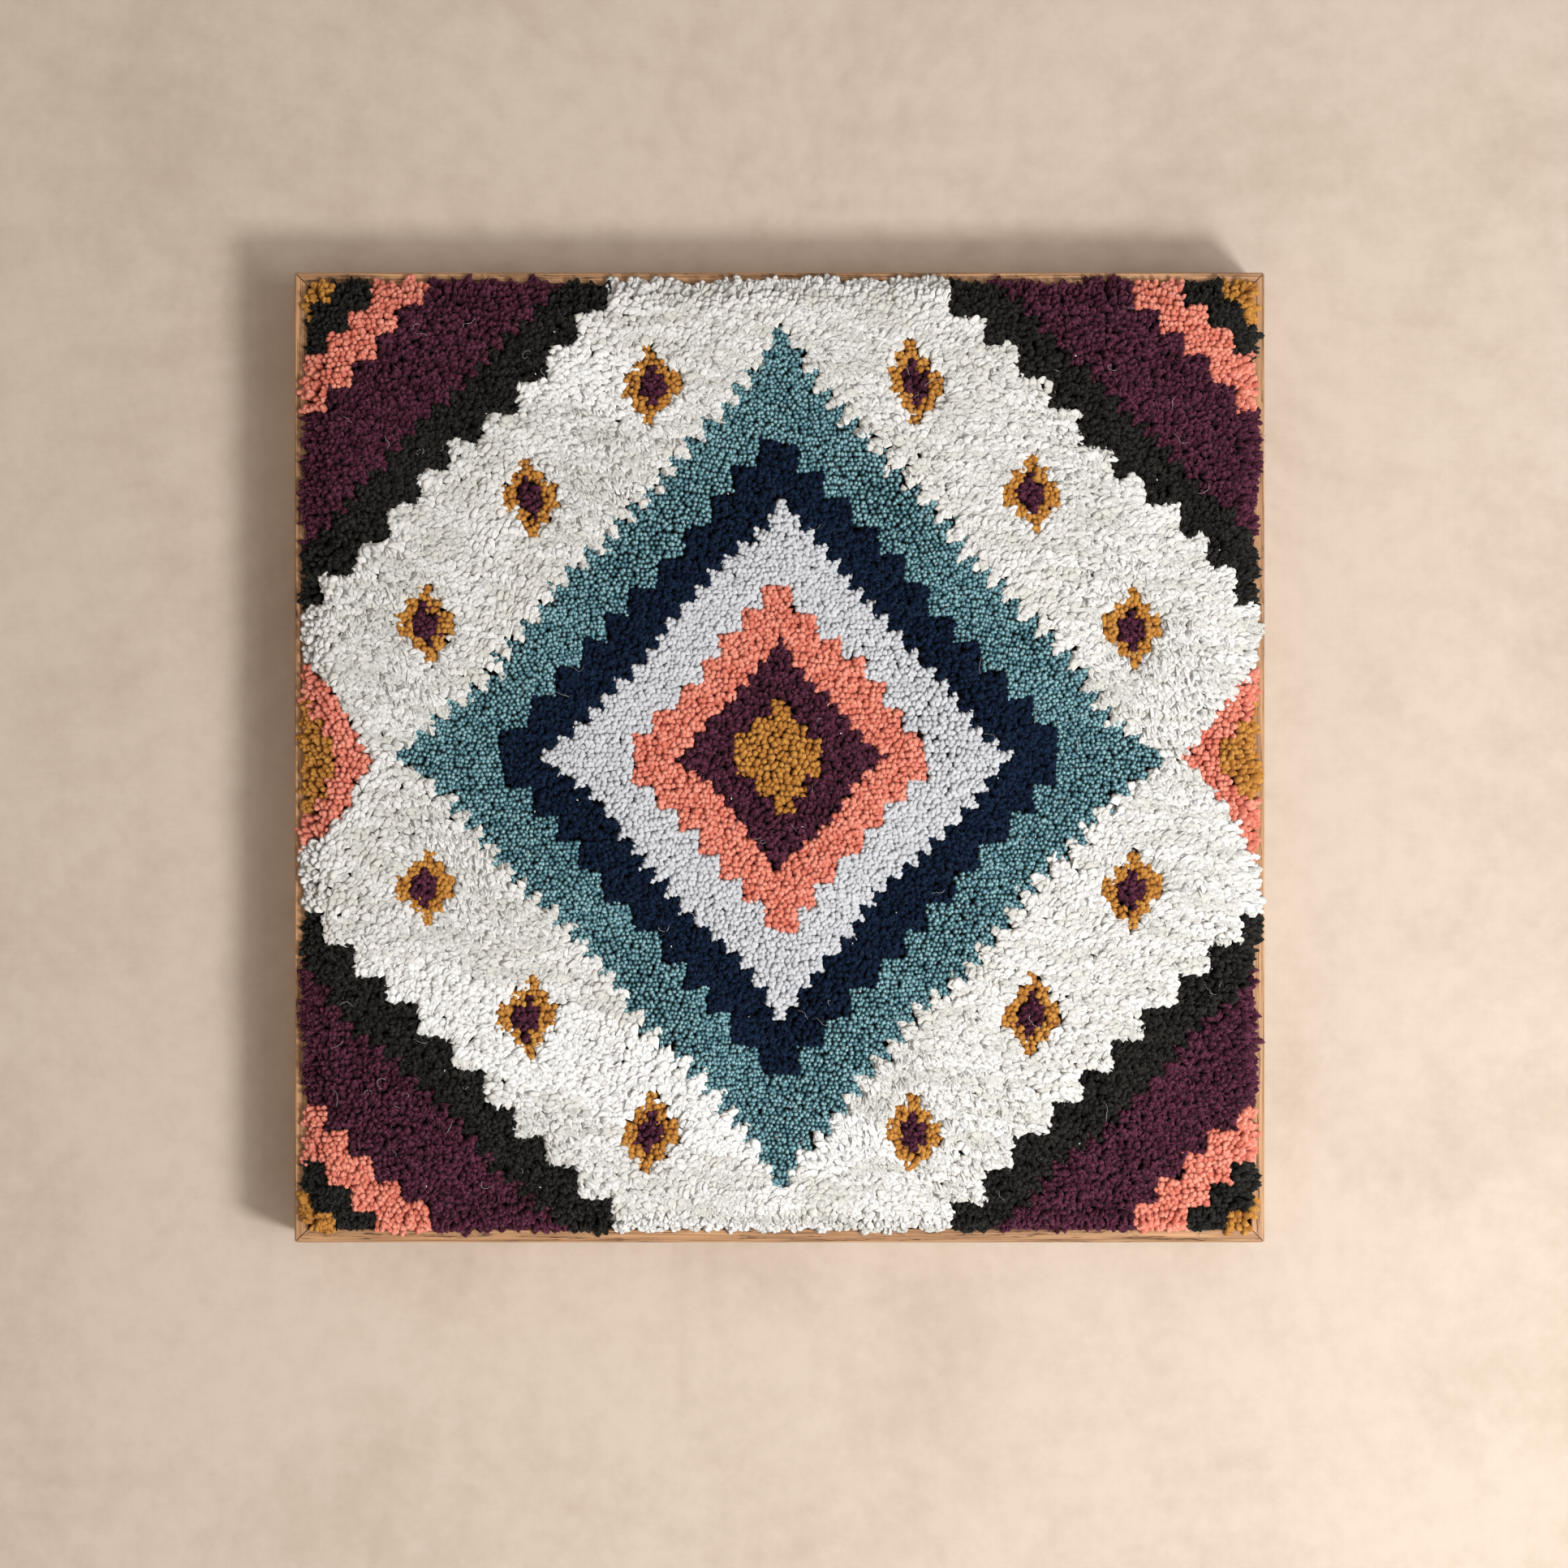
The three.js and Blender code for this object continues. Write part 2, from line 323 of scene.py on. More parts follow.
# Ground cloth. A tightly woven cloth stretched over the rebate, with the yarn punched
# through it: its back shows the rows of short running stitches under a thin dull glue.
CLOTH_THICK = 0.0014
CLOTH_GAP = 0.0004
LIP_WIDTH = 0.00635
CLOTH_HALF = FRAME_HALF - LIP_WIDTH - CLOTH_GAP
CLOTH_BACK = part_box("tufted_cloth")[1][1]
STITCHES = 123
ROWS = 185
YARN_COLOURS = {
    "cream": (0.60, 0.565, 0.535),
    "white": (0.80, 0.755, 0.72),
    "teal": (0.055, 0.165, 0.19),
    "navy": (0.010, 0.019, 0.045),
    "pale": (0.52, 0.52, 0.55),
    "coral": (0.60, 0.155, 0.105),
    "ochre": (0.42, 0.16, 0.03),
    "plum": (0.085, 0.018, 0.038),
    "black": (0.017, 0.015, 0.013),
}
CLOTH_TAN = (0.33, 0.30, 0.26)
DULL_GLUE = (0.62, 0.57, 0.48)
STITCH_RELIEF = 0.0006


def mesh_from(name, points, faces_by_size):
    """A mesh from an array of points and arrays of faces, one array for each face size."""
    mesh = bpy.data.meshes.new(name)
    corners = np.concatenate([faces.ravel() for faces in faces_by_size])
    sizes = np.concatenate([np.full(len(faces), faces.shape[1]) for faces in faces_by_size])
    mesh.vertices.add(len(points))
    mesh.vertices.foreach_set("co", points.astype(np.float32).ravel())
    mesh.loops.add(len(corners))
    mesh.loops.foreach_set("vertex_index", corners.astype(np.int32))
    mesh.polygons.add(len(sizes))
    mesh.polygons.foreach_set("loop_start", np.concatenate([[0], np.cumsum(sizes)[:-1]]).astype(np.int32))
    mesh.update(calc_edges=True)
    mesh.validate()
    return mesh


def new_piece(name, mesh, material):
    piece = bpy.data.objects.new(name, mesh)
    piece.data.materials.append(material)
    bpy.context.scene.collection.objects.link(piece)
    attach(piece, "root")
    return piece


def cloth_mesh():
    """A closed sheet. Each face of its back is one stitch and carries its yarn's colour."""
    x = np.linspace(-CLOTH_HALF, CLOTH_HALF, STITCHES + 1)
    z = np.linspace(-CLOTH_HALF, CLOTH_HALF, ROWS + 1)
    grid_x, grid_z = np.meshgrid(x, z)
    back = np.stack([grid_x, np.full(grid_x.shape, CLOTH_BACK), grid_z + MIDDLE_Z], axis=-1).reshape(-1, 3)
    index = np.arange(len(back)).reshape(ROWS + 1, STITCHES + 1)
    a, b, c, d = index[:-1, :-1], index[:-1, 1:], index[1:, 1:], index[1:, :-1]
    stitches = np.stack([a, d, c, b], axis=-1).reshape(-1, 4)
    ring = np.concatenate([index[0, :-1], index[:-1, -1], index[-1, :0:-1], index[:0:-1, 0]])
    rim = back[ring] - (0, CLOTH_THICK, 0)
    front = len(back) + np.arange(len(ring))
    walls = np.stack([ring, np.roll(ring, -1), np.roll(front, -1), front], axis=-1)
    mesh = mesh_from("ground_cloth", np.concatenate([back, rim]), [stitches, walls, front[None, :]])
    middle_x = (x[:-1] + x[1:]) / 2
    middle_z = (z[:-1] + z[1:]) / 2
    yarn = yarn_at(*np.meshgrid(middle_x, middle_z)).ravel()
    colours = np.array([YARN_COLOURS[name] for name in yarn])
    corners = np.ones((len(mesh.loops), 4), np.float32)
    corners[:, :3] = YARN_COLOURS["cream"]
    corners[: 4 * len(colours), :3] = np.repeat(colours, 4, axis=0)
    mesh.color_attributes.new("stitch", "FLOAT_COLOR", "CORNER").data.foreach_set("color", corners.ravel())
    return mesh


def cloth_material():
    material = bpy.data.materials.new("glued back of the ground cloth")
    material.use_nodes = True
    tree = material.node_tree
    shader = tree.nodes["Principled BSDF"]
    place = add(tree, "ShaderNodeTexCoord").outputs["Object"]
    apart = add(tree, "ShaderNodeSeparateXYZ", {0: place})
    rows_a_metre = ROWS / (2 * CLOTH_HALF)
    first_row = (CLOTH_HALF - MIDDLE_Z) * rows_a_metre
    row = math_node(tree, "MULTIPLY_ADD", apart.outputs["Z"], rows_a_metre, first_row)
    waver = spread(tree, noise(tree, place, (22, 22, 22), 2), 0.3, 0.7, -0.45, 0.45)
    row = math_node(tree, "ADD", row, waver)
    odd = math_node(tree, "MODULO", math_node(tree, "FLOOR", row), 2)
    stitches_a_metre = STITCHES / (2 * CLOTH_HALF)
    stitch = math_node(tree, "MULTIPLY_ADD", apart.outputs["X"], stitches_a_metre, STITCHES / 2)
    stitch = math_node(tree, "MULTIPLY_ADD", odd, 0.5, stitch)
    humps = []
    for step, roundness in ((row, 0.6), (stitch, 0.35)):
        wave = math_node(tree, "SINE", math_node(tree, "MULTIPLY", step, math.pi))
        humps.append(math_node(tree, "POWER", math_node(tree, "ABSOLUTE", wave), roundness))
    height = math_node(tree, "MULTIPLY", *humps)
    weave = noise(tree, place, (1500, 1500, 1500), 2)
    glue = spread(tree, noise(tree, place, (30, 30, 30), 4, 0.6), 0.35, 0.7, 0.15, 0.6)
    yarn = add(tree, "ShaderNodeAttribute", attribute_name="stitch").outputs["Color"]
    gap = mix_colours(tree, spread(tree, height, 0.15, 0.55), CLOTH_TAN, yarn)
    colour = mix_colours(tree, glue, gap, DULL_GLUE)
    tree.links.new(colour, shader.inputs["Base Color"])
    tree.links.new(spread(tree, glue, 0.1, 0.6, 0.8, 0.5), shader.inputs["Roughness"])
    relief = math_node(tree, "MULTIPLY_ADD", weave, 0.25, height)
    bump = add(tree, "ShaderNodeBump", {"Height": relief, "Strength": 0.8, "Distance": STITCH_RELIEF})
    tree.links.new(bump.outputs[0], shader.inputs["Normal"])
    return material


cloth = new_piece("ground_cloth", cloth_mesh(), cloth_material())
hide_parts("tufted_cloth")


# Pile. Cut ends of yarn stand up from the cloth in rows, lean with the lay of the pile,
# crown over at the rim and spill across the frame's lip, with a groove between colours.
PILE_ROOT = -CLOTH_BACK + 0.0006
PILE_FRONT = 0.0395
PILE_CORNER = 0.0035
ROOTED_HALF = CLOTH_HALF - 0.0007
LIP_FRONT = 0.0323
CROWN = {"width": 0.012, "drop": 0.0058}
OVERHANG = {"left": 0.0046, "right": 0.0046, "top": 0.0040, "bottom": 0.0020}
RIM_WIDTH = 0.0045
GROOVE = {"reach": 0.0015, "drop": 0.0011, "part": 0.0004}
BODY_SHARE = {"middle": 0.4, "rim": 0.6}
HEAD_SHARE = 0.88
BENT_ROWS = {"along": 0.003, "across": 0.004}
STRAY = {"along": 0.16, "across": 0.13, "rim": 0.35}
LAY_TURNS = {"middle": 0.3, "swing": 1.1}
SWELL = {"broad": 0.22, "narrow": 0.20}
SPILL_VARIES = (0.85, 1.12)
TUFT_VARIES = (0.88, 1.12)
RING_VARIES = (0.78, 1.22)
TWIST = 0.35
RIM_LEAN = {"upright": 0.8, "spread": 0.7, "turn": 0.35, "pull": 0.002}
WAIST = {"share": 0.15, "depth": 0.001}
HAIR_ROOT = {"stray": 0.0006, "sunk": 0.0012}
DRIFTS = {
    "bend across": (0.11, 5),
    "bend along": (0.09, 6),
    "lay": (0.16, 11),
    "broad swell": (0.05, 17),
    "narrow swell": (0.011, 19),
    "waver of rows": (0.06, 23),
    "rows": (0.0085, 37),
    "hollows": (0.12, 3),
    "clumps": (0.013, 29),
    "streaks": (0.014, 31),
}
HOLLOW_DEPTH = 0.0004
ROW_STRETCH = 0.22
ROW_WAVER = 0.003
UNEVEN = {"rows": 0.9, "clumps": 0.5, "single": 0.6}
STREAKS = {"stretch": 0.3, "own": 0.3, "rows": 0.3}
CLEAR_OF_LIP = {"neck": 0.3, "tip": 0.6}
RIM_RADII = {"waist": 0.6, "body": 0.8, "head": 1.2}
HAIR_RISE = {"slope": 0.8, "least": 0.35}
FIBRE_FINENESS = 1900
FIBRE_HEIGHT = 0.0005
SHEEN_ROUGHNESS = 0.4
INSIDE_COLOUR = (1.0, 0.95, 0.9)
INSIDE_REACH = 0.0015


def drift(x, z, kind):
    """Smooth swells from about -1 to 1, with this kind's size across and its own seed."""
    size, seed = DRIFTS[kind]
    pick = np.random.default_rng(seed)
    total = np.zeros_like(x)
    for _ in range(6):
        angle, phase = pick.uniform(0, 2 * math.pi, 2)
        rate = 2 * math.pi / size * pick.uniform(0.6, 1.5)
        total += np.sin(rate * (x * math.cos(angle) + z * math.sin(angle)) + phase)
    return total / 3


def edge_of_pile(x, z):
    """How far each place lies inside the round-cornered rim, and the way out to it."""
    core = ROOTED_HALF - PILE_CORNER
    over_x, over_z = np.abs(x) - core, np.abs(z) - core
    corner_x, corner_z = np.maximum(over_x, 0), np.maximum(over_z, 0)
    length = np.hypot(corner_x, corner_z)
    inside = PILE_CORNER - length - np.minimum(np.maximum(over_x, over_z), 0)
    straight = length < 1e-9
    way_x = np.where(straight, (over_x > over_z) * 1.0, corner_x / np.maximum(length, 1e-9))
    way_z = np.where(straight, (over_x <= over_z) * 1.0, corner_z / np.maximum(length, 1e-9))
    return inside, way_x * np.sign(x), way_z * np.sign(z)


def overhang_at(way_x, way_z):
    """How far the pile reaches over the lip on the side that the way out points to."""
    sideways = np.where(way_x < 0, OVERHANG["left"], OVERHANG["right"])
    upright = np.where(way_z > 0, OVERHANG["top"], OVERHANG["bottom"])
    return way_x**2 * sideways + way_z**2 * upright


def roots_of(yarn, half, pitch, rng):
    """Places of one yarn's tufts in bent rows, twice as many near the rim, where they spread.

    half is -1 or 1 for one side only, and 0 for both.
    """
    count = int(1.1 * ROOTED_HALF / pitch)
    column, row = np.meshgrid(np.arange(-count, count + 1.0), np.arange(-count, count + 1.0))
    x = (column + 0.5 * (row % 2)).ravel() * pitch
    z = row.ravel() * pitch
    bent_x = x + BENT_ROWS["along"] * drift(x, z, "bend along")
    bent_z = z + BENT_ROWS["across"] * drift(x, z, "bend across")
    x = bent_x + rng.normal(0, STRAY["along"] * pitch, x.shape)
    z = bent_z + rng.normal(0, STRAY["across"] * pitch, x.shape)
    inside, _, _ = edge_of_pile(x, z)
    keep = (inside > 0) & (yarn_at(x, z) == yarn) & (half * x >= 0)
    x, z = x[keep], z[keep]
    outer = edge_of_pile(x, z)[0] < RIM_WIDTH
    x = np.concatenate([x, x[outer] + rng.normal(0, STRAY["rim"] * pitch, outer.sum())])
    z = np.concatenate([z, z[outer] + rng.normal(0, STRAY["rim"] * pitch, outer.sum())])
    return x, z


def away_from_others(x, z, yarn):
    """How near another colour is, from 0 to 1, and the way from it."""
    near, way_x, way_z = np.zeros_like(x), np.zeros_like(x), np.zeros_like(x)
    for turn in np.arange(8) * math.pi / 4:
        step_x, step_z = math.cos(turn) * GROOVE["reach"], math.sin(turn) * GROOVE["reach"]
        other = yarn_at(x + step_x, z + step_z)
        pale_pair = np.isin(other, ("cream", "white")) & (yarn in ("cream", "white"))
        differs = (other != yarn) & ~pale_pair
        near += differs / 4
        way_x -= differs * math.cos(turn) / 2
        way_z -= differs * math.sin(turn) / 2
    return np.minimum(near, 1), way_x, way_z


def strands(path, radii, sides, rng, fray=0.0):
    """Closed strands, each from its root point through its rings' centres to its tip."""
    count, rings = radii.shape
    centres = path[:, 1:-1]
    along = path[:, 2:] - path[:, :-2]
    along /= np.linalg.norm(along, axis=-1, keepdims=True)
    first = np.array([1.0, 0, 0]) - along * along[..., :1]
    first /= np.maximum(np.linalg.norm(first, axis=-1, keepdims=True), 1e-6)
    second = np.cross(along, first)
    spoke = np.arange(sides) * 2 * math.pi / sides
    turn = rng.uniform(0, 2 * math.pi, (count, 1, 1)) + spoke
    turn = turn + TWIST * np.arange(rings)[None, :, None]
    flat = 1 + fray * np.cos(2 * (spoke + rng.uniform(0, math.pi, (count, 1, 1))))
    wide = radii[:, :, None] * flat * rng.uniform(*RING_VARIES, (count, 1, sides))
    ring = centres[:, :, None] + wide[..., None] * (
        np.cos(turn)[..., None] * first[:, :, None] + np.sin(turn)[..., None] * second[:, :, None]
    )
    points = np.concatenate([path[:, :1], ring.reshape(count, -1, 3), path[:, -1:]], axis=1)
    start = (np.arange(count) * points.shape[1])[:, None, None]
    here = 1 + np.arange(rings * sides).reshape(rings, sides)
    beside = np.roll(here, -1, axis=1)
    walls = np.stack([here[:-1], beside[:-1], beside[1:], here[1:]], axis=-1).reshape(-1, 4)
    tip = np.full(sides, 1 + rings * sides)
    caps = np.stack([here[-1], beside[-1], tip], axis=-1)
    feet = np.stack([beside[0], here[0], 0 * tip], axis=-1)
    faces = [(start + part).reshape(-1, part.shape[1]) for part in (walls, caps, feet)]
    # Height along each strand, 0 at the root and 1 at the tip, by which the yarn colour paints light and
    # shade towards the root.
    lift = np.concatenate([[0], np.repeat(np.linspace(0.3, 0.92, rings), sides), [1.0]])
    return points, faces, lift


def joined(batches):
    """One list of points, faces by size and looks from several batches of strands."""
    shift, points, looks, by_size = 0, [], [], {}
    for batch_points, faces, batch_looks in batches:
        points.append(batch_points.reshape(-1, 3))
        looks.append(batch_looks.reshape(-1, 4))
        for part in faces:
            by_size.setdefault(part.shape[1], []).append(part + shift)
        shift += len(points[-1])
    faces = [np.concatenate(by_size[size]) for size in sorted(by_size) if len(by_size[size])]
    return np.concatenate(points), [part for part in faces if len(part)], np.concatenate(looks)


def tuft_place(low, high, share, below, at_rim, size):
    """Part of the way from root to tip, at a depth below the tip and clear of the lip."""
    spot = low + (high - low) * share
    spot[:, 1] = high[:, 1] + below
    if at_rim:
        spot[:, 1] = np.minimum(spot[:, 1], -LIP_FRONT - CLEAR_OF_LIP["neck"] * size)
    return spot


def stand_tufts(x, z, yarn, thick, lay, splay, uneven, rng):
    """The root, tip, width and looks of the tuft at each place.

    The looks are a random shade, a height that pile_batches fills in for the painted root shade,
    the yarn's streak, partly painted shade in the hollows between rows, and a 1 that loose
    fibres have as 0.
    """
    count = len(x)
    inside, way_x, way_z = edge_of_pile(x, z)
    near, part_x, part_z = away_from_others(x, z, yarn)
    crown = np.clip(1 - inside / CROWN["width"], 0, 1)
    heading = LAY_TURNS["middle"] + LAY_TURNS["swing"] * drift(x, z, "lay")
    lean_x = lay * np.cos(heading) + rng.normal(0, splay, count) + part_x * GROOVE["part"]
    lean_z = lay * np.sin(heading) + rng.normal(0, splay, count) + part_z * GROOVE["part"]
    swell = 1 + SWELL["broad"] * drift(x, z, "broad swell") + SWELL["narrow"] * drift(x, z, "narrow swell")
    spill = overhang_at(way_x, way_z) + HALF_SIDE - ROOTED_HALF
    spill += RIM_LEAN["spread"] * np.maximum(inside, 0)
    spill *= crown**2 * swell * rng.uniform(*SPILL_VARIES, count)
    turn = rng.normal(0, RIM_LEAN["turn"], count)
    way_x, way_z = (
        way_x * np.cos(turn) - way_z * np.sin(turn),
        way_x * np.sin(turn) + way_z * np.cos(turn),
    )
    lean_x = lean_x * (1 - RIM_LEAN["upright"] * crown) + way_x * spill
    lean_z = lean_z * (1 - RIM_LEAN["upright"] * crown) + way_z * spill
    rows = drift(x * ROW_STRETCH, z + ROW_WAVER * drift(x, z, "waver of rows"), "rows")
    depth = PILE_FRONT + HOLLOW_DEPTH * drift(x, z, "hollows")
    depth += uneven * (UNEVEN["rows"] * rows + UNEVEN["clumps"] * drift(x, z, "clumps"))
    depth += rng.normal(0, UNEVEN["single"] * uneven, count)
    depth -= CROWN["drop"] * crown**2 + GROOVE["drop"] * near
    width = thick * rng.uniform(*TUFT_VARIES, count)
    depth = np.maximum(depth, LIP_FRONT + CLEAR_OF_LIP["tip"] * width)
    tip = np.stack([x + lean_x, -depth, z + lean_z + MIDDLE_Z], axis=-1)
    root = np.stack([x, np.full(count, -PILE_ROOT), z + MIDDLE_Z], axis=-1)
    root -= RIM_LEAN["pull"] * np.stack([way_x * crown, 0 * crown, way_z * crown], axis=-1)
    # The streak is partly a slow drift of the yarn's own colour and partly follows the rows of tufts, so
    # lower rows are darker: painted shade in the hollows between rows.
    streak = 0.5 + STREAKS["own"] * drift(x * STREAKS["stretch"], z, "streaks") + STREAKS["rows"] * rows
    streak = np.clip(streak, 0, 1)
    looks = np.stack([rng.uniform(0, 1, count), np.zeros(count), streak, np.ones(count)], axis=-1)
    return root, tip, width, looks


def pile_batches(yarn, half, pitch, thick, sides, cap, head, blunt, lay, splay, uneven, fray, hairs, rng):
    """Tufts of one yarn: pinched at the cloth, pressed together below and round at the end.

    thick and cap are the radius where tufts meet and its depth below the tip, blunt and head
    the shares of these two at the rounded end, lay and splay how far a tuft leans, and fray
    how flat it is.
    """
    x, z = roots_of(yarn, half, pitch, rng)
    root, tip, width, looks = stand_tufts(x, z, yarn, thick, lay, splay, uneven, rng)
    rim = edge_of_pile(x, z)[0] < RIM_WIDTH
    batches = []
    for chosen, at_rim in ((~rim, False), (rim, True)):
        if not chosen.any():
            continue
        low, high, size = root[chosen], tip[chosen], width[chosen]
        body = tuft_place(low, high, BODY_SHARE["rim" if at_rim else "middle"], cap, at_rim, size)
        neck = tuft_place(low, high, HEAD_SHARE, head * cap, at_rim, size)
        places = [low, body, neck, high]
        radii = [size, blunt * size]
        if at_rim:
            waist = low + (high - low) * WAIST["share"]
            waist[:, 1] = -LIP_FRONT + WAIST["depth"]
            places.insert(1, waist)
            radii = [RIM_RADII["waist"] * size, RIM_RADII["body"] * size, RIM_RADII["head"] * blunt * size]
        points, faces, lift = strands(np.stack(places, axis=1), np.stack(radii, axis=-1), sides, rng, fray)
        own = np.repeat(looks[chosen][:, None], points.shape[1], axis=1)
        # The height along the tuft, for the painted light and shade towards its root.
        own[..., 1] = lift
        batches.append((points, faces, own))
    if hairs:
        batches.append(hair_batch(tip, looks, hairs, rng))
    return batches


def hair_batch(tips, looks, hairs, rng):
    """Loose fibres that stand out of the pile, each a thin three-sided sliver."""
    chosen = rng.choice(len(tips), int(hairs["share"] * len(tips)))
    count = len(chosen)
    start = tips[chosen] + rng.normal(0, HAIR_ROOT["stray"], (count, 3)) + (0, HAIR_ROOT["sunk"], 0)
    way = rng.normal(0, 1, (count, 3))
    way[:, 1] = -np.abs(way[:, 1]) * HAIR_RISE["slope"] - HAIR_RISE["least"]
    way /= np.linalg.norm(way, axis=-1, keepdims=True)
    length = rng.uniform(0.5, 1.0, (count, 1)) * hairs["long"]
    path = np.stack([start, start + way * length * 0.4, start + way * length], axis=1)
    points, faces, _ = strands(path, np.full((count, 1), hairs["thick"]), 3, rng)
    own = np.repeat(looks[chosen][:, None], points.shape[1], axis=1)
    # Full height keeps loose fibres clear of the painted root shade, and alpha 0 gives them the hair
    # colour, a painted sheen.
    own[..., 1] = 1
    own[..., 3] = 0
    return points, faces, own


def yarn_piece(name, batches, material):
    points, faces, looks = joined(batches)
    mesh = mesh_from(name, points, faces)
    tuft = mesh.color_attributes.new("tuft", "FLOAT_COLOR", "POINT")
    tuft.data.foreach_set("color", looks.astype(np.float32).ravel())
    mesh.shade_smooth()
    piece = new_piece(name, mesh, material)
    piece.parent = cloth


def pile_piece(name, yarn, material, seed, half=0, **facts):
    rng = np.random.default_rng(seed)
    yarn_piece(name, pile_batches(yarn, half, rng=rng, **facts), material)


def make_yarn_colour():
    """Yarn colour by tuft, with marl, fine fuzz and streaks, painted shade towards its root
    (painted light there in cream and white), and loose fibres in a lighter colour, a painted sheen.
    """
    tree, given, out = new_group(
        "Yarn colour",
        {
            "Root light and shade": "Color", "Body": "Color", "Bright": "Color", "Hair and sheen": "Color",
            "Marl": "Float", "Streaks": "Float", "Rise": "Float", "Fuzz": "Float",
        },
        {"Colour": "Color"},
    )
    tuft = add(tree, "ShaderNodeAttribute", attribute_name="tuft")
    apart = add(tree, "ShaderNodeSeparateColor", {0: tuft.outputs["Color"]})
    place = add(tree, "ShaderNodeTexCoord").outputs["Object"]
    speck = noise(tree, place, (1300, 500, 1300), 2, 0.6)
    speckled = math_node(tree, "SUBTRACT", speck, 0.5)
    tone = math_node(tree, "MULTIPLY_ADD", speckled, 1.6, apart.outputs["Red"])
    fuzz = spread(tree, noise(tree, place, (1900, 900, 1900), 3, 0.7), 0.36, 0.64, -0.5, 0.5)
    tone = math_node(tree, "MULTIPLY_ADD", fuzz, given.outputs["Fuzz"], tone)
    # Streaks, partly painted shade along the lower rows of tufts.
    streaky = math_node(tree, "SUBTRACT", apart.outputs["Blue"], 0.5)
    tone = math_node(tree, "MULTIPLY_ADD", streaky, given.outputs["Streaks"], tone)
    from_even = math_node(tree, "SUBTRACT", tone, 0.5)
    tone = math_node(tree, "MULTIPLY_ADD", from_even, given.outputs["Marl"], 0.5, clamp=True)
    lit = mix_colours(tree, tone, given.outputs["Body"], given.outputs["Bright"])
    # Painted light and shade: towards each tuft's root the colour goes to the root colour, darker than the
    # tip in most yarns for the shade in the gaps, paler in cream and white for light in the wool.
    lift = math_node(tree, "POWER", apart.outputs["Green"], given.outputs["Rise"])
    yarn = mix_colours(tree, lift, given.outputs["Root light and shade"], lit)
    # Loose fibres take the hair colour, lighter than their yarn: a painted sheen.
    colour = mix_colours(tree, tuft.outputs["Alpha"], given.outputs["Hair and sheen"], yarn)
    tree.links.new(colour, out.inputs["Colour"])
    return tree


def make_fibre_relief():
    """Fine lengthways fibres, for the height of a bump."""
    tree, given, out = new_group("Fibre relief", {"Fineness": "Float"}, {"Height": "Float"})
    place = add(tree, "ShaderNodeTexCoord").outputs["Object"]
    fine = add(tree, "ShaderNodeVectorMath", {0: place, 3: given.outputs["Fineness"]}, operation="SCALE")
    tree.links.new(noise(tree, fine.outputs[0], (1, 0.35, 1), 3, 0.65), out.inputs["Height"])
    return tree


def make_soft_normal():
    """A normal turned part of the way to the pile's front, as light spreads inside wool."""
    tree, given, out = new_group("Soft normal", {"Softness": "Float"}, {"Normal": "Vector"})
    own = add(tree, "ShaderNodeNewGeometry").outputs["Normal"]
    inputs = {0: given.outputs["Softness"], 4: own, 5: (0, -1, 0)}
    turned = add(tree, "ShaderNodeMix", inputs, data_type="VECTOR")
    unit = add(tree, "ShaderNodeVectorMath", {0: turned.outputs[1]}, operation="NORMALIZE")
    tree.links.new(unit.outputs[0], out.inputs["Normal"])
    return tree


YARN_COLOUR = make_yarn_colour()
FIBRE_RELIEF = make_fibre_relief()
SOFT_NORMAL = make_soft_normal()


def yarn_material(
    name, root_light_and_shade, body, bright, hair_and_sheen, marl, streaks, rise, fuzz,
    rough, shine, sheen, relief, soft, inside=0.0,
):
    """Cut yarn. inside is the share of the light that spreads within a tuft before it leaves.
    The colour towards the roots is painted light and shade, and the hair colour a painted sheen.
    """
    material = bpy.data.materials.new(name)
    material.use_nodes = True
    tree = material.node_tree
    shader = tree.nodes["Principled BSDF"]
    colour = tree.nodes.new("ShaderNodeGroup")
    colour.node_tree = YARN_COLOUR
    for socket, value in {"Root light and shade": root_light_and_shade, "Body": body, "Bright": bright, "Hair and sheen": hair_and_sheen}.items():
        colour.inputs[socket].default_value = (*value, 1)
    for socket, value in {"Marl": marl, "Streaks": streaks, "Rise": rise, "Fuzz": fuzz}.items():
        colour.inputs[socket].default_value = value
    fibres = tree.nodes.new("ShaderNodeGroup")
    fibres.node_tree = FIBRE_RELIEF
    fibres.inputs["Fineness"].default_value = FIBRE_FINENESS
    normal = tree.nodes.new("ShaderNodeGroup")
    normal.node_tree = SOFT_NORMAL
    normal.inputs["Softness"].default_value = soft
    inputs = {
        "Height": fibres.outputs["Height"],
        "Strength": relief,
        "Distance": FIBRE_HEIGHT,
        "Normal": normal.outputs[0],
    }
    bump = add(tree, "ShaderNodeBump", inputs)
    tree.links.new(colour.outputs["Colour"], shader.inputs["Base Color"])
    tree.links.new(bump.outputs[0], shader.inputs["Normal"])
    shader.inputs["Roughness"].default_value = rough
    shader.inputs["Specular IOR Level"].default_value = shine
    shader.inputs["Sheen Weight"].default_value = sheen
    shader.inputs["Sheen Roughness"].default_value = SHEEN_ROUGHNESS
    shader.inputs["Subsurface Weight"].default_value = inside
    shader.inputs["Subsurface Radius"].default_value = INSIDE_COLOUR
    shader.inputs["Subsurface Scale"].default_value = INSIDE_REACH
    return material


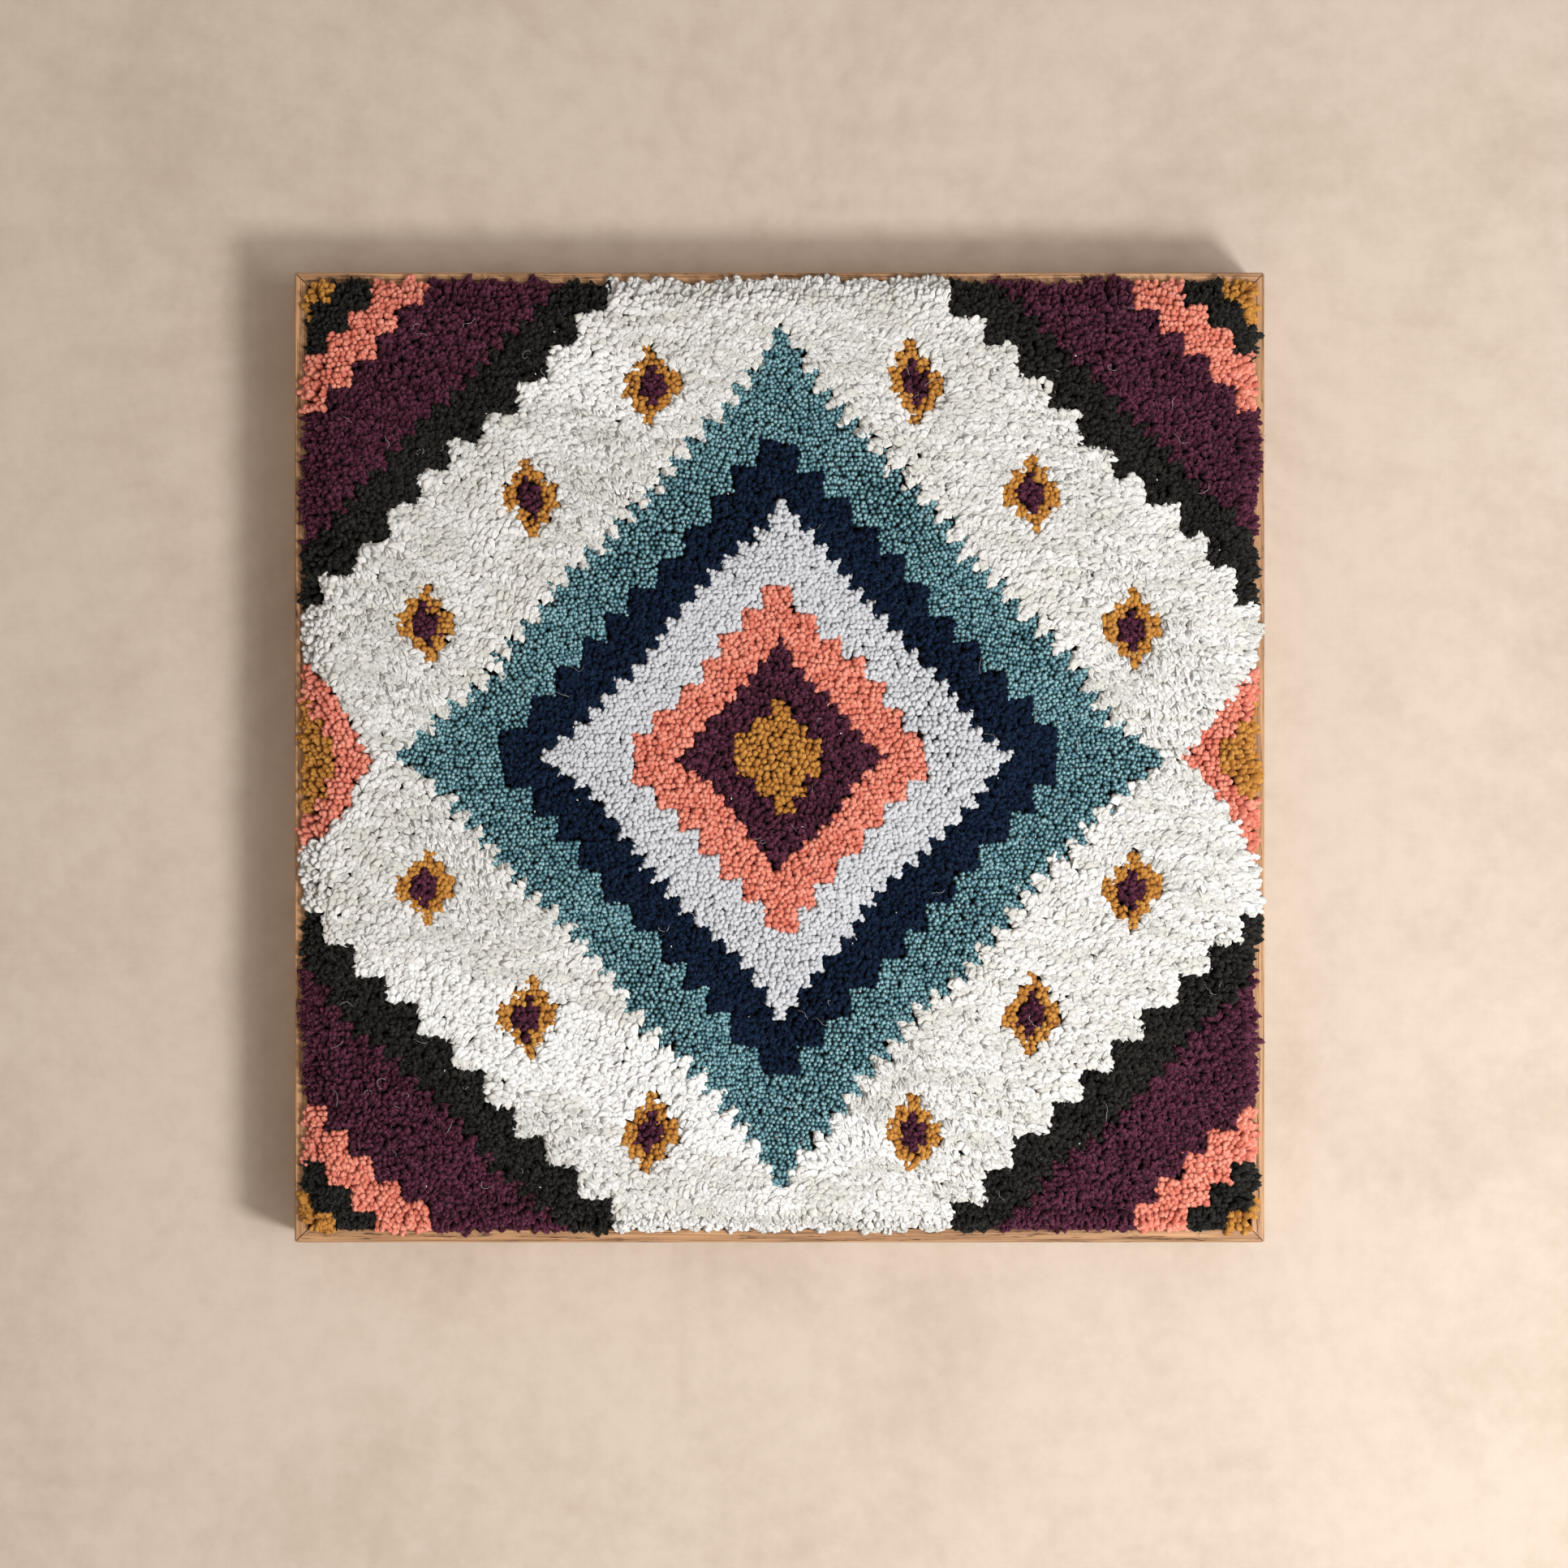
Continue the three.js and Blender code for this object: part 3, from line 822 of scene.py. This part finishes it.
# Cream and white ground. Soft two-fold wool, marled white, warm grey and green-grey, cut
# long so that its tufts lie over in flakes and streaks.
# In the cream and white wools the root colour is paler than the tips: painted light in the gaps between
# tufts.
CREAM = yarn_material(
    "marled cream wool",
    root_light_and_shade=(0.94, 0.91, 0.85), body=(0.610, 0.590, 0.552),
    bright=(0.825, 0.793, 0.785), hair_and_sheen=(0.88, 0.86, 0.85),
    marl=0.8, streaks=2.6, rise=1.0, fuzz=0.4, rough=0.9, shine=0.1, sheen=0.2, relief=0.5, soft=0.82,
    inside=0.5,
)
WHITE = yarn_material(
    "plain white wool",
    root_light_and_shade=(0.96, 0.94, 0.90), body=(0.91, 0.88, 0.86),
    bright=(0.95, 0.93, 0.925), hair_and_sheen=(0.95, 0.93, 0.92),
    marl=1.0, streaks=0.3, rise=1.0, fuzz=0.5, rough=0.9, shine=0.1, sheen=0.2, relief=0.5, soft=0.80,
    inside=0.5,
)
FLAKES = dict(
    pitch=0.0022, thick=0.0027, sides=4, cap=0.0011, head=0.30, blunt=0.50, lay=0.0030, splay=0.0013,
    uneven=0.00040, fray=0.30, hairs={"share": 0.25, "long": 0.0030, "thick": 0.00008},
)
pile_piece("pile_cream_left", "cream", CREAM, 101, half=-1, **FLAKES)
pile_piece("pile_cream_right", "cream", CREAM, 102, half=1, **FLAKES)
pile_piece("pile_white", "white", WHITE, 103, **FLAKES)


# Teal lozenge. A fine, hard, slightly glossy yarn, so each cut end stands by itself with
# a dark gap round it, made darker by painted shade towards the roots.
TEAL = yarn_material(
    "glossy teal yarn",
    root_light_and_shade=(0.003, 0.016, 0.025), body=(0.058, 0.180, 0.228),
    bright=(0.24, 0.46, 0.51), hair_and_sheen=(0.30, 0.50, 0.54),
    marl=1.2, streaks=0.4, rise=2.0, fuzz=0.2, rough=0.40, shine=0.6, sheen=0.1, relief=0.35, soft=0.05,
)
pile_piece(
    "pile_teal", "teal", TEAL, 104, pitch=0.00195, thick=0.00165, sides=5, cap=0.0022, head=0.2,
    blunt=0.48, lay=0.0004, splay=0.0004, uneven=0.00030, fray=0.06, hairs=None,
)


# Pale grey-blue, coral and ochre. Thicker, evenly cut yarns whose ends open into small
# blunt buds.
PALE = yarn_material(
    "pale blue-grey wool",
    root_light_and_shade=(0.54, 0.545, 0.575), body=(0.52, 0.53, 0.57),
    bright=(0.69, 0.70, 0.74), hair_and_sheen=(0.78, 0.79, 0.82),
    marl=1.0, streaks=0.3, rise=1.0, fuzz=0.6, rough=0.8, shine=0.2, sheen=0.2, relief=0.5, soft=0.65,
)
CORAL = yarn_material(
    "coral wool",
    root_light_and_shade=(0.30, 0.045, 0.028), body=(0.65, 0.168, 0.115),
    bright=(0.88, 0.34, 0.25), hair_and_sheen=(0.90, 0.42, 0.33),
    marl=1.1, streaks=0.3, rise=1.2, fuzz=0.7, rough=0.8, shine=0.2, sheen=0.25, relief=0.6, soft=0.25,
)
OCHRE = yarn_material(
    "ochre wool",
    root_light_and_shade=(0.16, 0.050, 0.008), body=(0.40, 0.155, 0.022),
    bright=(0.60, 0.29, 0.06), hair_and_sheen=(0.70, 0.42, 0.16),
    marl=1.1, streaks=0.3, rise=1.2, fuzz=0.7, rough=0.8, shine=0.2, sheen=0.2, relief=0.6, soft=0.25,
)
BUDS = dict(
    pitch=0.0021, thick=0.0019, sides=5, cap=0.0019, head=0.2, blunt=0.5, lay=0.0006, splay=0.0006,
    uneven=0.0004, fray=0.15, hairs={"share": 0.15, "long": 0.0022, "thick": 0.00008},
)
THICK_BUDS = {**BUDS, "pitch": 0.0023, "thick": 0.0021}
pile_piece("pile_pale", "pale", PALE, 105, **BUDS)
pile_piece("pile_coral", "coral", CORAL, 106, **THICK_BUDS)
pile_piece("pile_ochre", "ochre", OCHRE, 107, **THICK_BUDS)


# Navy, plum and black. Hairy woollen yarns whose ends felt together, with fibres standing
# out of them in a lighter colour, a painted sheen.
NAVY = yarn_material(
    "navy wool",
    root_light_and_shade=(0.001, 0.003, 0.009), body=(0.003, 0.008, 0.026),
    bright=(0.012, 0.026, 0.062), hair_and_sheen=(0.040, 0.080, 0.135),
    marl=1.2, streaks=0.3, rise=1.6, fuzz=0.9, rough=0.95, shine=0.08, sheen=0.05, relief=1.0, soft=0.35,
)
PLUM = yarn_material(
    "plum wool",
    root_light_and_shade=(0.010, 0.003, 0.006), body=(0.050, 0.009, 0.022),
    bright=(0.150, 0.038, 0.075), hair_and_sheen=(0.260, 0.110, 0.160),
    marl=1.2, streaks=0.3, rise=1.6, fuzz=0.9, rough=0.95, shine=0.08, sheen=0.12, relief=1.0, soft=0.35,
)
BLACK = yarn_material(
    "black wool",
    root_light_and_shade=(0.003, 0.003, 0.003), body=(0.008, 0.008, 0.007),
    bright=(0.036, 0.034, 0.030), hair_and_sheen=(0.110, 0.103, 0.090),
    marl=1.2, streaks=0.3, rise=1.6, fuzz=0.9, rough=0.95, shine=0.08, sheen=0.10, relief=1.0, soft=0.35,
)
FELTED = dict(
    pitch=0.0021, thick=0.0021, sides=4, cap=0.0016, head=0.2, blunt=0.40, lay=0.0014, splay=0.0011,
    uneven=0.0004, fray=0.30, hairs={"share": 0.8, "long": 0.0034, "thick": 0.00010},
)
pile_piece("pile_navy", "navy", NAVY, 108, **FELTED)
pile_piece("pile_plum", "plum", PLUM, 109, **FELTED)
pile_piece("pile_black", "black", BLACK, 110, **FELTED)


# Loose hairs and lint. Fine curved fibres that have worked out of the dark yarns, and
# specks of white fluff caught on the pile.
LOOSE = yarn_material(
    "loose pale fibre",
    root_light_and_shade=(0.30, 0.29, 0.27), body=(0.26, 0.25, 0.24),
    bright=(0.80, 0.78, 0.75), hair_and_sheen=(0.80, 0.78, 0.75),
    marl=1.2, streaks=0.0, rise=1.0, fuzz=0.0, rough=0.8, shine=0.3, sheen=0.1, relief=0.0, soft=0.0,
)
HAIRS = {"count": 90, "short": 0.004, "long": 0.014, "thick": 0.00007}
CURL = {"bend": 2.2, "kink": 0.5, "rise": 0.0016, "points": 9}
LINT = {"count": 45, "long": 0.0012, "thick": 0.00028}


def dark_places(count, rng):
    """Random places on the dark yarns, clear of the rim."""
    x, z = rng.uniform(-ROOTED_HALF, ROOTED_HALF, (2, 30 * count))
    dark = np.isin(yarn_at(x, z), ("teal", "navy", "plum", "black"))
    keep = dark & (edge_of_pile(x, z)[0] > CROWN["width"])
    return x[keep][:count], z[keep][:count]


def loose_batch(path, radii, sides, pale, rng):
    """Strands with a shade of their own each, within the range pale from dark 0 to light 1."""
    points, faces, _ = strands(path, radii, sides, rng)
    looks = np.full((*points.shape[:2], 4), 0.5)
    looks[..., 0] = rng.uniform(*pale, (len(points), 1))
    looks[..., 1] = 1
    return points, faces, looks


def curved_hairs(rng):
    """Arcs that leave the pile, bend over it and sink back."""
    x, z = dark_places(HAIRS["count"], rng)
    steps = np.linspace(0, 1, CURL["points"])
    length = rng.uniform(HAIRS["short"], HAIRS["long"], (len(x), 1))
    bend = rng.normal(0, CURL["bend"], (len(x), 1))
    heading = rng.uniform(0, 2 * math.pi, (len(x), 1)) + bend * steps
    heading += np.cumsum(rng.normal(0, CURL["kink"], heading.shape), axis=1)
    along_x = np.cumsum(np.cos(heading), axis=1) * length / CURL["points"]
    along_z = np.cumsum(np.sin(heading), axis=1) * length / CURL["points"]
    rise = CURL["rise"] * np.sin(math.pi * steps) * rng.uniform(0.5, 1, (len(x), 1))
    front = PILE_FRONT - 0.0004 + rise
    path = np.stack([x[:, None] + along_x, -front, z[:, None] + along_z + MIDDLE_Z], axis=-1)
    radii = np.full((len(x), CURL["points"] - 2), HAIRS["thick"])
    return loose_batch(path, radii, 3, (0, 0.5), rng)


def lint_specks(rng):
    """Short thick crumbs of fluff that lie on the tufts' tips."""
    x, z = dark_places(LINT["count"], rng)
    way = rng.normal(0, 1, (len(x), 1, 3)) * (1, 0.3, 1)
    way /= np.linalg.norm(way, axis=-1, keepdims=True)
    middle = np.stack([x, np.full(len(x), -PILE_FRONT - 0.0001), z + MIDDLE_Z], axis=-1)
    path = middle[:, None] + way * LINT["long"] * np.array([-0.5, -0.2, 0.2, 0.5])[None, :, None]
    return loose_batch(path, np.full((len(x), 2), LINT["thick"]), 5, (0.7, 1), rng)


LOOSE_RNG = np.random.default_rng(111)
yarn_piece("loose_hairs", [curved_hairs(LOOSE_RNG), lint_specks(LOOSE_RNG)], LOOSE)


# Wall, floor and light. A wall of mottled painted canvas behind the frame and a pale floor,
# which show only from their front, soft light from the lower right and dim warm light all round.
WALL_COLOUR = (0.60, 0.50, 0.42)
WALL_STAIN = (0.50, 0.405, 0.33)
FLOOR_COLOUR = (0.70, 0.66, 0.61)
WALL_GAP = 0.0008
THREAD_PITCH = 0.0022
FLOOR_LEVEL = -1.4
ROOM_HALF = 4.0
LIT_PLACE = (0, -0.03, MIDDLE_Z)
DAYLIGHT = (0.98, 1.0, 1.0)
LAMPS = {
    "key": {"place": (0.98, -1.17, MIDDLE_Z - 0.65), "size": 0.40, "power": 21, "colour": DAYLIGHT},
    "window": {"place": (1.9, -2.2, MIDDLE_Z - 0.3), "size": 1.6, "power": 30, "colour": DAYLIGHT},
    "back": {"place": (-0.9, 1.6, MIDDLE_Z + 0.9), "size": 1.2, "power": 22, "colour": (1.0, 0.99, 0.97)},
}
EVEN_LIGHT = (1.0, 0.92, 0.83)
EVEN_STRENGTH = 0.44


def plane(name, corners):
    mesh = bpy.data.meshes.new(name)
    mesh.from_pydata(corners, [], [(0, 1, 2, 3)])
    piece = bpy.data.objects.new(name, mesh)
    bpy.context.scene.collection.objects.link(piece)
    return piece


def show_front_only(material):
    """Clear from behind, so that the back of the hanging can be looked at through the wall."""
    tree = material.node_tree
    clear = add(tree, "ShaderNodeBsdfTransparent").outputs[0]
    behind = add(tree, "ShaderNodeNewGeometry").outputs["Backfacing"]
    inputs = {0: behind, 1: tree.nodes["Principled BSDF"].outputs[0], 2: clear}
    one_sided = add(tree, "ShaderNodeMixShader", inputs).outputs[0]
    tree.links.new(one_sided, tree.nodes["Material Output"].inputs["Surface"])


def wall_paint():
    """Mottled paint over the crossed threads of a canvas."""
    material = bpy.data.materials.new("wall paint")
    material.use_nodes = True
    tree = material.node_tree
    shader = tree.nodes["Principled BSDF"]
    place = add(tree, "ShaderNodeTexCoord").outputs["Object"]
    clouds = spread(tree, noise(tree, place, (9, 9, 9), 8, 0.68), 0.40, 0.68)
    mottle = math_node(tree, "MULTIPLY_ADD", noise(tree, place, (70, 70, 70), 6, 0.7), 1.8, -0.75)
    apart = add(tree, "ShaderNodeSeparateXYZ", {0: place})
    threads = []
    for crossing in ("ADD", "SUBTRACT"):
        along = math_node(tree, crossing, apart.outputs["X"], apart.outputs["Z"])
        along = math_node(tree, "MULTIPLY", along, 2 * math.pi / THREAD_PITCH)
        threads.append(math_node(tree, "SINE", along))
    weave = math_node(tree, "MULTIPLY_ADD", math_node(tree, "MULTIPLY", *threads), 0.14, -0.05)
    stain = math_node(tree, "ADD", math_node(tree, "MULTIPLY_ADD", clouds, 0.6, mottle), weave, clamp=True)
    tree.links.new(mix_colours(tree, stain, WALL_COLOUR, WALL_STAIN), shader.inputs["Base Color"])
    shader.inputs["Roughness"].default_value = 0.95
    shader.inputs["Specular IOR Level"].default_value = 0.1
    show_front_only(material)
    return material


def floor_paint():
    material = bpy.data.materials.new("floor paint")
    material.use_nodes = True
    shader = material.node_tree.nodes["Principled BSDF"]
    shader.inputs["Base Color"].default_value = (*FLOOR_COLOUR, 1)
    shader.inputs["Roughness"].default_value = 0.9
    show_front_only(material)
    return material


wall = plane(
    "wall",
    [
        (-ROOM_HALF, WALL_GAP, FLOOR_LEVEL),
        (ROOM_HALF, WALL_GAP, FLOOR_LEVEL),
        (ROOM_HALF, WALL_GAP, ROOM_HALF),
        (-ROOM_HALF, WALL_GAP, ROOM_HALF),
    ],
)
wall.data.materials.append(wall_paint())
wall.visible_shadow = wall.visible_diffuse = wall.visible_glossy = False

floor = plane(
    "floor",
    [
        (-ROOM_HALF, -ROOM_HALF, FLOOR_LEVEL),
        (ROOM_HALF, -ROOM_HALF, FLOOR_LEVEL),
        (ROOM_HALF, ROOM_HALF, FLOOR_LEVEL),
        (-ROOM_HALF, ROOM_HALF, FLOOR_LEVEL),
    ],
)
floor.data.materials.append(floor_paint())


def lamp(name, place, size, power, colour):
    """A soft round lamp that faces the hanging's middle."""
    light = bpy.data.lights.new(name, "AREA")
    light.shape = "DISK"
    light.size = size
    light.energy = power
    light.color = colour
    holder = bpy.data.objects.new(name, light)
    holder.location = place
    away = np.subtract(place, LIT_PLACE)
    holder.rotation_mode = "QUATERNION"
    holder.rotation_quaternion = mathutils.Vector(away).to_track_quat("Z", "Y")
    holder.visible_camera = False
    bpy.context.scene.collection.objects.link(holder)


for name, facts in LAMPS.items():
    lamp(name, **facts)

world = bpy.data.worlds.new("even light")
world.use_nodes = True
world.node_tree.nodes["Background"].inputs["Color"].default_value = (*EVEN_LIGHT, 1)
world.node_tree.nodes["Background"].inputs["Strength"].default_value = EVEN_STRENGTH
bpy.context.scene.world = world
bpy.context.scene.view_settings.view_transform = "Standard"
bpy.context.scene.view_settings.look = "None"


# Camera. It faces the wall squarely, a little to the right of the hanging's middle and
# below it, and takes in a square of wall about 0.74 m wide.
CAMERA_DISTANCE = 1.6
VIEW_WIDTH = 0.7392
VIEW_SHIFT = {"right": 0.0021, "down": 0.0125}
FRONT_PLANE = 0.032
SENSOR = 36

camera = bpy.data.objects.new("camera", bpy.data.cameras.new("camera"))
camera.data.sensor_width = SENSOR
camera.data.lens = SENSOR * CAMERA_DISTANCE / VIEW_WIDTH
camera.location = (VIEW_SHIFT["right"], -FRONT_PLANE - CAMERA_DISTANCE, MIDDLE_Z - VIEW_SHIFT["down"])
camera.rotation_euler = (math.pi / 2, 0, 0)
bpy.context.scene.collection.objects.link(camera)
bpy.context.scene.camera = camera
